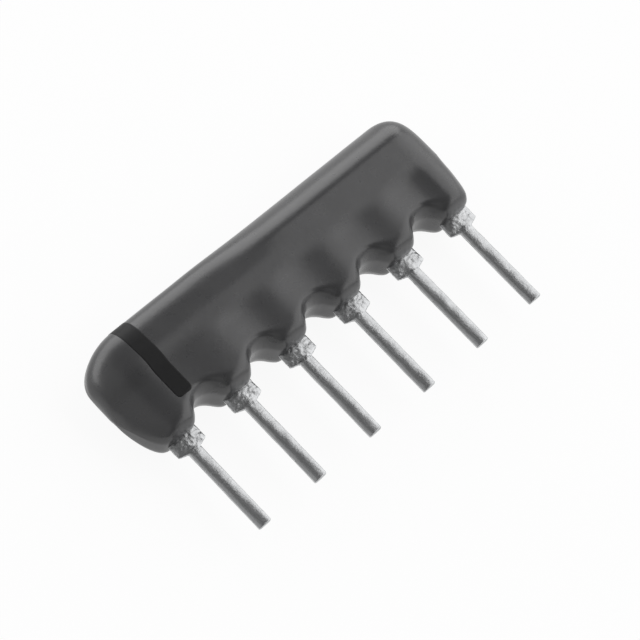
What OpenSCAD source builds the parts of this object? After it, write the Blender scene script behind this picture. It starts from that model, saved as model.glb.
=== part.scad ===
// Single-in-line resistor network: a printed ceramic plate with clipped-on leads in a dipped coating.
// It lies on its back with the marked face up. +X runs along the row from the first lead, +Y from the
// lead tips to the top edge of the body and +Z out of the marked face.
// Heights "above the seat" are measured along +Y from the lower edge of the shoulders.

/* [Leads] */
// Number of leads in the row
lead_count = 6; // [3:1:10]
// Distance between neighbouring leads
lead_pitch = 2.54; // [2.3:0.02:3.2]
// Width of the pin below the shoulder
pin_w = 0.5; // [0.4:0.01:0.6]
// Thickness of the lead strip
lead_t = 0.25; // [0.2:0.01:0.3]
// Length of the pin below the shoulder
pin_len = 3.43; // [2.5:0.01:5]
// Chamfer at the tip of the pin
tip_chamfer = 0.07; // [0.02:0.01:0.12]
// Width of the shoulder
shoulder_w = 1.2; // [1:0.01:1.4]
// Radius of the shoulder's lower corners
shoulder_r = 0.12; // [0.05:0.01:0.15]
// Radius of the fillet between pin and shoulder
root_r = 0.14; // [0.05:0.01:0.15]
// Height of the fork's root above the seat
fork_h = 0.75; // [0.65:0.01:0.8]
// Width of the front finger
front_finger_w = 0.38; // [0.3:0.01:0.45]
// Gap between neighbouring fingers
finger_gap = 0.08; // [0.05:0.01:0.12]
// Distance from the sides of the shoulder to the outer fingers
fork_inset = 0.1; // [0.05:0.01:0.14]
// Bend radius of the fingers, at the middle of the strip
bend_r = 0.2; // [0.16:0.01:0.24]
// Angle of the slope between a finger's two bends
bend_angle = 60; // [50:1:75]
// Length of the fingers along the plate
grip_len = 1.25; // [0.9:0.01:1.4]

/* [Substrate and films] */
// Thickness of the ceramic plate
plate_t = 0.8; // [0.6:0.01:0.9]
// Distance from the plate to the top edge of the coating
plate_margin = 0.55; // [0.5:0.01:0.75]
// Distance from the end leads to the ends of the plate
plate_reach = 0.62; // [0.5:0.01:0.75]
// Gap between the fingers' bends and the edge of the plate
plate_gap = 0.05; // [0.03:0.01:0.12]
// Thickness of the conductor film
conductor_t = 0.02; // [0.01:0.005:0.03]
// Width of a pad
pad_w = 1.1; // [0.9:0.01:1.2]
// Length of a pad past the tip of its finger
pad_past_finger = 0.4; // [0.3:0.01:0.45]
// Height of the bus along the top of the plate
bus_h = 0.35; // [0.25:0.01:0.45]
// Distance from the bus to the top edge of the plate
bus_margin = 0.2; // [0.15:0.01:0.3]
// Width of the riser between the first pad and the bus
riser_w = 0.7; // [0.5:0.01:0.9]
// Thickness of the resistor film
resistor_t = 0.02; // [0.01:0.005:0.03]
// Width of a resistor
resistor_w = 1; // [0.8:0.01:1.1]
// Overlap of a resistor onto the conductor at each end
resistor_lap = 0.12; // [0.08:0.01:0.14]
// Width of a laser trim cut
trim_w = 0.06; // [0.04:0.01:0.1]
// Depth of the shortest trim cut
trim_depth = 0.4; // [0.3:0.01:0.5]
// Thickness of the glass over the resistors
glaze_t = 0.04; // [0.02:0.005:0.06]
// Margin of the glass around the resistors and the bus
glaze_margin = 0.08; // [0.05:0.01:0.12]

/* [Solder] */
// Width of the solder on the pad
solder_w = 0.95; // [0.8:0.01:1]
// Width of the solder beside the finger at its top
solder_top = 0.05; // [0.02:0.01:0.08]
// Height of the solder beside the finger
solder_t = 0.2; // [0.12:0.01:0.24]
// Length of the solder past the tip of the finger
solder_past_finger = 0.18; // [0.1:0.01:0.25]

/* [Coating] */
// Height of the body from the seat to its top edge
body_h = 4.78; // [4.7:0.01:5.2]
// Fall of the top edge from the last end to the first
top_fall = 0.1; // [0:0.01:0.15]
// Thickness of the body between its swellings
body_t = 2.2; // [2.1:0.01:2.5]
// Distance from the first lead to that end of the body
first_reach = 1.38; // [1.25:0.01:1.5]
// Distance from the last lead to that end of the body
last_reach = 1.07; // [1:0.01:1.4]
// Height of the coating's lower edge above the seat
skirt_h = 0.66; // [0.5:0.01:0.7]
// Rise of the arches between the leads
arch_rise = 0.5; // [0.3:0.01:0.6]
// Shift of an arch's top towards the first lead
arch_shift = 0.1; // [0:0.01:0.2]
// Height of the swellings over the leads, which run together above the fingers
swell = 0.1; // [0:0.01:0.2]
// Half the width of a swelling before its crest
swell_w = 0.7; // [0.4:0.01:0.8]
// Half the width of a swelling past its crest
swell_fall = 0.6; // [0.4:0.01:0.8]
// Distance from a lead to the crest of its swelling, towards the last lead
swell_shift = 0.12; // [0:0.01:0.3]
// Length along +X of the rounding at the first end of the body
first_round = 1.8; // [1.2:0.01:2]
// Length along +X of the rounding at the last end of the body
end_round = 1.3; // [0.8:0.01:1.5]
// Length along +Y of the rounding at the top edge
top_round = 1.3; // [0.8:0.01:1.5]
// Length of the taper towards the leads, from the lower outline inwards
skirt_taper = 0.8; // [0.6:0.01:1.4]
// Length of the rounding over the arches, from the lower outline inwards
arch_round = 0.8; // [0.6:0.01:1.2]
// Height of the top corners
corner_h = 1.3; // [1:0.01:1.5]
// Length of the top corner at the first lead
first_corner = 1.9; // [1.2:0.01:2.2]
// Length of the top corner at the last lead
last_corner = 1.25; // [1:0.01:2]
// Height of the lower corners
foot_h = 1.8; // [1.3:0.01:1.9]
// Thickness of the coating around a lead where the lead leaves it
lip = 0.09; // [0.06:0.01:0.12]

/* [Pin-1 bar] */
// Width of the printed bar
bar_w = 0.65; // [0.4:0.01:0.8]
// Distance from the first lead to the middle of the bar
bar_offset = 0.74; // [0.5:0.01:0.9]
// Height of the bar's lower end above the seat
bar_low = 1.36; // [1.2:0.01:2]
// Radius of the corners at the bar's lower end
bar_r = 0.16; // [0.05:0.01:0.19]
// Thickness of the ink
ink_t = 0.03; // [0.02:0.005:0.05]

/* [Hidden] */

// Colours
coat_colour = "#4b4c4e";
ink_colour = "#1f2022";
tin_colour = "#b9bbbd";
solder_colour = "#9a9da0";
ceramic_colour = "#eeece4";
conductor_colour = "#c9c6bd";
resistor_colour = "#262a2b";
glaze_colour = "#3f6b4d";

// The row and the body in the frame, whose origin is under the middle of the whole part
row_len = (lead_count - 1) * lead_pitch;
body_len = row_len + first_reach + last_reach;
row_start = first_reach - body_len / 2;
seat_y = (pin_len - body_h) / 2;
mid_z = body_t / 2;

function lead_x(i) = row_start + (i - 1) * lead_pitch;

// The fork: each finger leaves the strip's plane by a slope between two bends
front_step = plate_t / 2 + conductor_t + lead_t / 2;
back_step = plate_t / 2 + lead_t / 2;
bend_cells = 6;

function slope_len(step) = (step - 2 * bend_r * (1 - cos(bend_angle))) / sin(bend_angle);
function step_len(step) = 2 * bend_r * sin(bend_angle) + slope_len(step) * cos(bend_angle);

// Heights above the seat of what the plate carries
plate_low = fork_h + step_len(front_step) + plate_gap;
plate_top = body_h - plate_margin;
finger_top = plate_low + grip_len;
pad_top = finger_top + pad_past_finger;
solder_high = finger_top + solder_past_finger;
bus_top = plate_top - bus_margin;
bus_low = bus_top - bus_h;
plate_face = mid_z + plate_t / 2;
plate_len = row_len + 2 * plate_reach;
film_t = conductor_t + resistor_t;
glass_top = film_t + glaze_t;

// A box from two corners, with heights along +Y measured above the seat
module block(x0, x1, low, high, z0, z1) {
    translate([x0, seat_y + low, z0])
        cube([x1 - x0, high - low, z1 - z0]);
}

// A flat piece of film on the plate, centred on x
module film(x, w, low, high, z0, z1) {
    block(x - w / 2, x + w / 2, low, high, plate_face + z0, plate_face + z1);
}

function arc(centre, r, from, to, cells) =
    [for (k = [0:cells]) let (a = from + (to - from) * k / cells) centre + r * [cos(a), sin(a)]];

function mirrored(points) =
    [for (k = [len(points) - 1:-1:0]) [-points[k].x, points[k].y]];

// One side of a lead's outline, from the tip of the pin to the root of the fork
round_cells = 6;
lead_side = concat(
    [[pin_w / 2 - tip_chamfer, -pin_len], [pin_w / 2, tip_chamfer - pin_len]],
    arc([pin_w / 2 + root_r, -root_r], root_r, 180, 90, round_cells),
    arc([shoulder_w / 2 - shoulder_r, shoulder_r], shoulder_r, -90, 0, round_cells),
    [[shoulder_w / 2, fork_h]]
);

// The middle line of a finger from inside the shoulder, as [height above the fork's root, distance from
// the strip's plane, direction]
function finger_line(step) =
    let (
        first = [for (k = [0:bend_cells]) bend_angle * k / bend_cells],
        run = step_len(step)
    )
    concat(
        [[-lead_t, 0, 0]],
        [for (a = first) [bend_r * sin(a), bend_r * (1 - cos(a)), a]],
        [for (k = [bend_cells:-1:0]) let (a = first[k])
            [run - bend_r * sin(a), step - bend_r * (1 - cos(a)), a]],
        [[finger_top - fork_h, step, 0]]
    );

function beside(line, d) = [for (p = line) [p[0] - d * sin(p[2]), p[1] + d * cos(p[2])]];

// One finger of the strip's thickness, with its slope towards +Z
module finger(x, w, step) {
    line = finger_line(step);
    far = beside(line, lead_t / 2);
    near = beside(line, -lead_t / 2);
    back = [for (k = [len(near) - 1:-1:0]) near[k]];
    translate([x - w / 2, seat_y + fork_h, 0])
        rotate([90, 0, 90])
            linear_extrude(w)
                polygon(concat(far, back));
}

module lead_solid(i) {
    fork_w = shoulder_w - 2 * fork_inset;
    back_finger_w = (fork_w - front_finger_w) / 2 - finger_gap;
    back_finger_x = (fork_w - back_finger_w) / 2;
    translate([lead_x(i), 0, mid_z]) {
        translate([0, seat_y, -lead_t / 2])
            linear_extrude(lead_t)
                polygon(concat(lead_side, mirrored(lead_side)));
        finger(0, front_finger_w, front_step);
        for (side = [-1, 1])
            mirror([0, 0, 1])
                finger(side * back_finger_x, back_finger_w, back_step);
    }
}

module lead(i) {
    color(tin_colour)
        lead_solid(i);
}

module plate_solid() {
    block(row_start - plate_reach, row_start - plate_reach + plate_len, plate_low, plate_top,
        mid_z - plate_t / 2, plate_face);
}

module substrate() {
    color(ceramic_colour)
        plate_solid();
}

module pad_solid(i) {
    film(lead_x(i), pad_w, plate_low, pad_top, 0, conductor_t);
}

module pad(i) {
    color(conductor_colour)
        pad_solid(i);
}

// The first pad, the riser and the bus are one print
module bus_solid() {
    pad_solid(1);
    film(lead_x(1), riser_w, plate_low, bus_top, 0, conductor_t);
    film((lead_x(1) + lead_x(lead_count)) / 2, row_len + pad_w, bus_low, bus_top, 0, conductor_t);
}

module bus_conductor() {
    color(conductor_colour)
        bus_solid();
}

// A resistor fills the gap between its pad and the bus, and laps onto both.
// Each trim cut is a little deeper than the one before it.
module resistor_solid(i) {
    x = lead_x(i + 1);
    middle = (pad_top + bus_low) / 2;
    depth = trim_depth * (1 + i / (2 * lead_count));
    difference() {
        union() {
            film(x, resistor_w, pad_top, bus_low, 0, film_t);
            film(x, resistor_w, pad_top - resistor_lap, bus_low + resistor_lap, conductor_t, film_t);
        }
        film(x + (resistor_w - depth) / 2, depth, middle - trim_w / 2, middle + trim_w / 2, 0, film_t);
    }
}

module resistor(i) {
    color(resistor_colour)
        resistor_solid(i);
}

module glass_block() {
    film((lead_x(1) + lead_x(lead_count)) / 2, row_len + pad_w + 2 * glaze_margin,
        pad_top - resistor_lap - glaze_margin, bus_top + glaze_margin, 0, glass_top);
}

module overglaze() {
    color(glaze_colour)
        difference() {
            glass_block();
            bus_solid();
            for (i = [2:lead_count]) {
                pad_solid(i);
                resistor_solid(i - 1);
            }
        }
}

// Solder on a pad, sloping up to both sides and the tip of the front finger. The glass dams it.
module solder_block(i) {
    top_w = front_finger_w + 2 * solder_top;
    translate([lead_x(i), seat_y, plate_face + conductor_t])
        intersection() {
            translate([0, solder_high, 0])
                rotate([90, 0, 0])
                    linear_extrude(solder_high - plate_low)
                        polygon([[-solder_w / 2, 0], [solder_w / 2, 0], [top_w / 2, solder_t],
                            [-top_w / 2, solder_t]]);
            translate([-solder_w / 2, 0, 0])
                rotate([90, 0, 90])
                    linear_extrude(solder_w)
                        polygon([[plate_low, 0], [solder_high, 0], [finger_top + solder_top, solder_t],
                            [plate_low, solder_t]]);
        }
}

module solder(i) {
    color(solder_colour)
        difference() {
            solder_block(i);
            lead_solid(i);
            glass_block();
        }
}

// The coating's outer form is a loft along +X. Each station has a section that is rounded at the top
// edge, gets thinner towards its lower outline, is flat behind and is hollowed in front between the leads.
arch_cells = 10;
end_cells = 9;
edge_cells = 7;
face_cells = 4;
skirt_cells = 6;
foot_power = 1.6;
arch_power = 2.6;
top_power = 3;
low_power = 2;
edge_blunt = 0.06;
end_blunt = 0.12;
blunt_limit = 0.5;
round_limit = 0.49;
arch_half = (lead_pitch - shoulder_w) / 2;
swell_fade = 0.6;
swell_over = 0.1;
swell_top = finger_top + swell_over;

first_end = -body_len / 2;
last_end = body_len / 2;

// Nearest lead, and the distance from it
function nearest(x) = min(max(round((x - row_start) / lead_pitch), 0), lead_count - 1);
function from_lead(x) = x - row_start - nearest(x) * lead_pitch;

function clamped(share) = min(max(share, 0), 1);
function drop(share, power) = 1 - pow(1 - pow(clamped(share), power), 1 / power);

// Height of the top edge at x
function top_edge(x) =
    body_h
    - top_fall * (last_end - x) / body_len
    - corner_h * drop((first_end + first_corner - x) / first_corner, 2)
    - corner_h * drop((x - last_end + last_corner) / last_corner, 2);

// How far x is into the arch between two leads: 0 at a shoulder and 1 under the arch's top
function arch_share(x) =
    let (
        d = from_lead(x),
        from_middle = d > 0 ? d - lead_pitch / 2 : d + lead_pitch / 2,
        from_top = from_middle + arch_shift,
        reach = from_top > 0 ? arch_half + arch_shift : arch_half - arch_shift
    )
    foot_share(x) > 0 ? 0 : 1 - pow(clamped(abs(from_top) / reach), arch_power);

// How far x is past the shoulder of the first or the last lead, as a share of the way to the end
function foot_share(x) =
    x < 0 ? (row_start - shoulder_w / 2 - x) / (first_reach - shoulder_w / 2)
    : (x - row_start - row_len - shoulder_w / 2) / (last_reach - shoulder_w / 2);

function lower_edge(x) = skirt_h + arch_rise * arch_share(x) + foot_h * drop(foot_share(x), foot_power);

// Half the thickness at x
function end_share(x) =
    max(1 - (x - first_end) / first_round, 1 - (last_end - x) / end_round);
function half_t(x) = body_t / 2 * max(end_blunt, 1 - drop(end_share(x), 2));

function eased(share) = let (t = clamped(share)) t * t * (3 - 2 * t);
function mixed(from, to, share) = from + (to - from) * share;

function bell(d) = exp(-d * d);
function swell_from(d) = bell(d / (d < 0 ? swell_w : swell_fall));
function swell_sum(x, i = 1) =
    i > lead_count ? 0 : swell_from(x - lead_x(i) - swell_shift) + swell_sum(x, i + 1);
function swell_at(x, h) = swell * mixed(1, swell_sum(x), eased((swell_top - h) / swell_fade));

// Share of the thickness that is reached at x and a height, from 0 at the lower outline to 1 well inside
function to_segment(p, a, b) =
    norm(p - a - (b - a) * clamped((p - a) * (b - a) / ((b - a) * (b - a))));
function low_share(x, h) =
    let (
        reach = mixed(skirt_taper, arch_round, eased(abs(from_lead(x)) / (lead_pitch / 2))),
        near = min([for (k = [1:len(low_line) - 1]) to_segment([x, h], low_line[k - 1], low_line[k])])
    )
    1 - drop(1 - near / reach, low_power);

// Front half of the section at x, from the lower edge to the top edge, as [height, distance from the
// middle plane]
function section(x) =
    let (
        low = lower_edge(x),
        high = top_edge(x),
        half = half_t(x),
        low_blunt = min(lead_t / 2 + lip, half * blunt_limit),
        high_blunt = min(edge_blunt, half * blunt_limit),
        low_run = min(skirt_taper + arch_rise, (high - low) * round_limit),
        high_round = min(top_round, (high - low) * round_limit),
        heights = concat(
            [for (k = [0:edge_cells]) low + low_run * (1 - cos(90 * k / edge_cells))],
            [for (k = [1:face_cells - 1]) mixed(low + low_run, high - high_round, k / face_cells)]
        )
    )
    concat(
        [for (h = heights) [h, mixed(low_blunt, half, low_share(x, h))]],
        [for (k = [edge_cells:-1:0])
            let (
                a = 90 * k / edge_cells,
                h = high - high_round * (1 - pow(cos(a), 2 / top_power)),
                inside = mixed(low_blunt, half, low_share(x, h))
            )
            [h, mixed(min(high_blunt, inside), inside, pow(sin(a), 2 / top_power))]]
    );

function front_point(x, p, out) =
    [x, seat_y + p[0], mid_z + p[1] + out + swell_at(x, p[0]) * p[1] / half_t(x)];
function back_point(x, p) = [x, seat_y + p[0], mid_z - p[1]];

function ring(x) =
    let (s = section(x))
    concat(
        [for (p = s) front_point(x, p, 0)],
        [for (k = [len(s) - 1:-1:0]) back_point(x, s[k])]
    );

// Stations along +X, closer together where the outline turns
function end_steps(reach) = [for (k = [0:end_cells]) reach * (1 - cos(90 * k / end_cells))];
function skirt_stations(i) =
    [for (k = [1:skirt_cells - 1]) lead_x(i) + shoulder_w * (k / skirt_cells - 0.5)];
function arch_stations(i) =
    [for (k = [0:arch_cells]) lead_x(i) + lead_pitch / 2 - arch_half * cos(180 * k / arch_cells)];
row_stations = concat(
    [for (i = [1:lead_count - 1]) each concat(skirt_stations(i), arch_stations(i))],
    skirt_stations(lead_count)
);
stations = concat(
    [for (d = end_steps(first_reach - shoulder_w / 2)) first_end + d],
    row_stations,
    [for (k = [end_cells:-1:0]) last_end - end_steps(last_reach - shoulder_w / 2)[k]]
);

// Lower outline of the coating, as [x, height]
low_line = [for (x = stations) [x, lower_edge(x)]];

// A closed solid through rings that all have the same number of points
module loft(rings) {
    count = len(rings[0]);
    last = len(rings) - 1;
    sides = [for (k = [0:last - 1], j = [0:count - 1])
        let (a = k * count + j, b = k * count + (j + 1) % count)
        each [[a, b, b + count], [a, b + count, a + count]]];
    first_cap = [for (j = [count - 1:-1:0]) j];
    last_cap = [for (j = [0:count - 1]) last * count + j];
    polyhedron([for (r = rings) each r], concat([first_cap], sides, [last_cap]));
}

module coat_form() {
    loft([for (x = stations) ring(x)]);
}

module coating() {
    color(coat_colour)
        difference() {
            coat_form();
            plate_solid();
            glass_block();
            bus_solid();
            for (i = [2:lead_count])
                pad_solid(i);
            for (i = [1:lead_count]) {
                solder_block(i);
                lead_solid(i);
            }
        }
}

// The bar is a film of ink on the marked face, with rounded corners at its lower end. It follows the
// coating at the stations under it and the nearest ones beside it.
bar_x = lead_x(1) + bar_offset;
bar_past = 0.5;
bar_stations = [for (x = stations) if (abs(x - bar_x) < bar_w / 2 + bar_past) x];

function bar_ring(x) =
    let (s = section(x))
    concat(
        [for (p = s) front_point(x, p, ink_t)],
        [[x, seat_y + s[len(s) - 1][0], mid_z], [x, seat_y + s[0][0], mid_z]]
    );

module bar_outline() {
    translate([bar_x - bar_w / 2, seat_y + bar_low + bar_r])
        square([bar_w, body_h]);
    translate([bar_x - bar_w / 2 + bar_r, seat_y + bar_low])
        square([bar_w - 2 * bar_r, body_h]);
    for (side = [-1, 1])
        translate([bar_x + side * (bar_w / 2 - bar_r), seat_y + bar_low + bar_r])
            circle(bar_r, $fn = 24);
}

module pin_1_bar() {
    color(ink_colour)
        difference() {
            intersection() {
                loft([for (x = bar_stations) bar_ring(x)]);
                translate([0, 0, mid_z])
                    linear_extrude(body_t)
                        bar_outline();
            }
            loft([for (x = bar_stations) ring(x)]);
        }
}

coating();
pin_1_bar();
substrate();
bus_conductor();
overglaze();
for (i = [2:lead_count]) {
    pad(i);
}
for (i = [1:lead_count - 1]) {
    resistor(i);
}
for (i = [1:lead_count]) {
    solder(i);
    lead(i);
}
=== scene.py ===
import math

import bmesh
import bpy
import numpy as np
from bpy.props import FloatProperty, FloatVectorProperty, PointerProperty
from mathutils import Matrix, Vector, noise


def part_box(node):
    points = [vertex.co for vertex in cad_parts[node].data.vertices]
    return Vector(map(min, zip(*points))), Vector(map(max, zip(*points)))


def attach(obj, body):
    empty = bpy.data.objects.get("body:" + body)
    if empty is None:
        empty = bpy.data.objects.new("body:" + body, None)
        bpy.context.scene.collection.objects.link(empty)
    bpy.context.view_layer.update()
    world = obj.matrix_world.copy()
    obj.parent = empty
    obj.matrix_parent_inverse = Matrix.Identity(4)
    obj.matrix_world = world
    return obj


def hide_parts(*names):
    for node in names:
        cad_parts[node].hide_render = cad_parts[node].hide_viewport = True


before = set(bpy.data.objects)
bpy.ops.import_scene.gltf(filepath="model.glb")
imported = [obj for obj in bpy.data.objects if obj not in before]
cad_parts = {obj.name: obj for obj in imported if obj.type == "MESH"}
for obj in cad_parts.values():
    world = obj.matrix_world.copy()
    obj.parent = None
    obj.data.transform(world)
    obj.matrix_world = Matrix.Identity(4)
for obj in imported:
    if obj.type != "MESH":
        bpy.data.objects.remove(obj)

bl_info = {
    "name": "Resistor network",
    "version": (1, 0, 0),
    "blender": (4, 5, 0),
    "location": "3D View > Sidebar > Network",
    "description": "Dresses a single-in-line resistor network and sets it on a white table",
    "category": "Object",
}

# Lengths in this file are metres, and MM turns a length in millimetres into one.
MM = 0.001
BODY = "root"

# Places of the colour sockets of a Mix node, which share their names with others
MIX_A, MIX_B, MIX_RESULT = 6, 7, 2

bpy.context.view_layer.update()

# The row, the body and the plate as the frame has them. +X runs along the row from the first lead, +Y
# from the lead tips to the top edge and +Z out of the marked face.
LEAD_COUNT = sum(name.startswith("lead_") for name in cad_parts)
LEAD_BOXES = [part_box(f"lead_{i + 1}") for i in range(LEAD_COUNT)]
LEAD_XS = [(low.x + high.x) / 2 for low, high in LEAD_BOXES]
PITCH = (LEAD_XS[-1] - LEAD_XS[0]) / (LEAD_COUNT - 1)
TIP_Y = LEAD_BOXES[0][0].y
FINGER_TOP_Y = LEAD_BOXES[0][1].y
FIRST_END, LAST_END = (corner.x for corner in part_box("coating"))
PLATE_LOW, PLATE_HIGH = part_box("substrate")
MID_Z = (PLATE_LOW.z + PLATE_HIGH.z) / 2


def linear(hex_colour):
    """An sRGB hex colour as linear RGBA."""
    parts = [int(hex_colour[k:k + 2], 16) / 255 for k in (1, 3, 5)]
    return [c / 12.92 if c <= 0.04045 else ((c + 0.055) / 1.055) ** 2.4 for c in parts] + [1.0]


def length(name, millimetres, text):
    """A setting for a length, given in millimetres."""
    return FloatProperty(
        name=name, description=text, default=millimetres * MM, unit="LENGTH", precision=5
    )


def share(name, value, text):
    """A setting for a share of 1."""
    return FloatProperty(name=name, description=text, default=value, min=0.0, max=1.0, subtype="FACTOR")


def colour(name, hex_colour, text):
    """A setting for a colour, given as sRGB hex."""
    return FloatVectorProperty(
        name=name, description=text, default=linear(hex_colour), size=4, min=0.0, max=1.0,
        subtype="COLOR",
    )


def level(name, value, text):
    """A setting for the radiance of a light."""
    return FloatProperty(name=name, description=text, default=value, min=0.0)


class CoatingSettings(bpy.types.PropertyGroup):
    """Sizes and colours of the dipped coating."""

    shade: colour("Colour", "#383839", "Colour of the epoxy")
    body_h: length("Height", 4.78, "Height of the body from the seat to its top edge")
    top_fall: length("Top fall", 0.1, "Fall of the top edge from the last end to the first")
    body_t: length("Thickness", 2.2, "Thickness of the body beside its swellings")
    skirt_h: length("Skirt height", 0.54, "Height of the coating's lower edge above the seat")
    arch_rise: length("Arch rise", 0.61, "Rise of the arches between the leads")
    arch_shift: length("Arch shift", 0.1, "Shift of an arch's top towards the first lead")
    swell: length("Swelling", 0.09, "Height of the swellings over the leads, and of the face above them")
    swell_w: length("Swelling width", 0.85, "Half the width of a swelling before its crest")
    swell_fall: length("Swelling fall", 0.85, "Half the width of a swelling past its crest")
    swell_shift: length("Swelling shift", 0.4, "Shift of a swelling from its lead towards the last lead")
    lean: FloatProperty(
        name="Lean", description="Lean of the marked face under its top edge, at the first end",
        default=math.radians(6.5), subtype="ANGLE",
    )
    lean_low: length("Lean height", 3.1, "Height above the seat at which the face starts to lean")
    first_round: length("First end rounding", 1.8, "Length along +X of the rounding at the first end")
    last_round: length("Last end rounding", 1.3, "Length along +X of the rounding at the last end")
    top_round: length("Top rounding", 1.15, "Length along +Y of the rounding at the top edge")
    last_top_round: length("Last top rounding", 1.1, "The same on the marked face, past mid-row")
    skirt_taper: length("Skirt taper", 0.48, "Taper over the leads, measured from the lower edge")
    arch_round: length("Arch rounding", 0.42, "Rounding over the arches, measured from the lower edge")
    corner_h: length("Corner height", 1.3, "Height of the top corners")
    first_corner: length("First corner", 1.9, "Length of the top corner at the first lead")
    last_corner: length("Last corner", 1.25, "Length of the top corner at the last lead")
    foot_h: length("Foot height", 1.8, "Height of the lower corners")
    lip: length("Lip", 0.09, "Thickness of the coating around a lead where the lead leaves it")
    wave: length("Wave", 0.005, "Height of the slow waves that the dip leaves on the faces")


class BarSettings(bpy.types.PropertyGroup):
    """Sizes and colour of the printed bar beside the first lead."""

    shade: colour("Colour", "#09090a", "Colour of the ink")
    bar_w: length("Width", 0.65, "Width of the bar")
    bar_offset: length("Offset", 0.74, "Distance from the first lead to the middle of the bar")
    bar_low: length("Lower end", 1.36, "Height of the bar's lower end above the seat")
    bar_r: length("Corner radius", 0.16, "Radius of the corners at the lower end")
    ink_t: length("Ink thickness", 0.008, "Thickness of the ink")


class LeadSettings(bpy.types.PropertyGroup):
    """Sizes and colour of the tinned leads."""

    shade: colour("Colour", "#b8b9ba", "Colour of the tin")
    pin_w: length("Pin width", 0.5, "Width of the pin below the shoulder")
    pin_len: length("Pin length", 3.43, "Length of the pin below the shoulder")
    lead_t: length("Thickness", 0.25, "Thickness of the strip")
    tip_chamfer: length("Tip chamfer", 0.03, "Chamfer at the tip of the pin")
    shoulder_w: length("Shoulder width", 1.2, "Width of the shoulder")
    shoulder_r: length("Shoulder radius", 0.09, "Radius of the shoulder's lower corners")
    root_r: length("Root radius", 0.07, "Radius of the fillet between pin and shoulder")
    fork_h: length("Fork height", 0.75, "Height of the fork's root above the seat")
    fork_inset: length("Fork inset", 0.1, "Distance from the sides of the shoulder to the outer fingers")
    front_finger_w: length("Front finger", 0.38, "Width of the front finger")
    finger_gap: length("Finger gap", 0.08, "Gap between neighbouring fingers")
    bend_r: length("Bend radius", 0.2, "Bend radius of the fingers, at the middle of the strip")
    lump: length("Lumps", 0.01, "Height of the long lumps that the molten tin leaves on the pins")
    grain: length("Grain", 0.011, "Height of the small lumps on the shoulders")
    twist: FloatProperty(
        name="Twist", description="Turn of a pin about its length, from its shoulder to its tip",
        default=math.radians(9), subtype="ANGLE",
    )


class InnerSettings(bpy.types.PropertyGroup):
    """Colours of what the coating hides."""

    plate: colour("Plate", "#e9e6df", "Colour of the alumina")
    conductor: colour("Conductors", "#bdb9b0", "Colour of the silver-palladium film")
    resistor: colour("Resistors", "#26262a", "Colour of the ruthenium-oxide film")
    glass: colour("Overglaze", "#3d5a46", "Colour of the glass")
    solder: colour("Solder", "#c9cacb", "Colour of the solder")


class StageSettings(bpy.types.PropertyGroup):
    """The table and the light."""

    table: colour("Table", "#f4f4f4", "Colour of the table")
    glow: share("Table glow", 0.92, "Share of the table's white that doesn't depend on the lamps")
    side_level: level("Side panel", 1.75, "Radiance of the panel at the last end")
    front_level: level("Front panel", 1.75, "Radiance of the panel towards the lead tips")
    fill_level: level("Fill panel", 0.4, "Radiance of the panel at the first end")
    back_level: level("Back panel", 2.7, "Radiance of the panel at the top edge")
    room_level: level("Room", 0.15, "Radiance of the room around the panels")


class NetworkSettings(bpy.types.PropertyGroup):
    """All settings of the part and its stage."""

    coating: PointerProperty(type=CoatingSettings, name="Coating", description="The dipped coating")
    bar: PointerProperty(type=BarSettings, name="Bar", description="The printed bar")
    lead: PointerProperty(type=LeadSettings, name="Leads", description="The tinned leads")
    inner: PointerProperty(type=InnerSettings, name="Inside", description="What the coating hides")
    stage: PointerProperty(type=StageSettings, name="Stage", description="The table and the light")


def clamp(value):
    """The value, kept between 0 and 1."""
    return min(max(value, 0.0), 1.0)


def mix(start, end, part):
    """The place that is a part of the way from start to end."""
    return start + (end - start) * part


def drop(part, power):
    """Fall of a rounded corner, from 0 where it starts to 1 at its end."""
    return 1 - (1 - clamp(part) ** power) ** (1 / power)


def smooth(part):
    """A change from 0 to 1 that starts and ends slowly."""
    part = clamp(part)
    return part * part * (3 - 2 * part)


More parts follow.
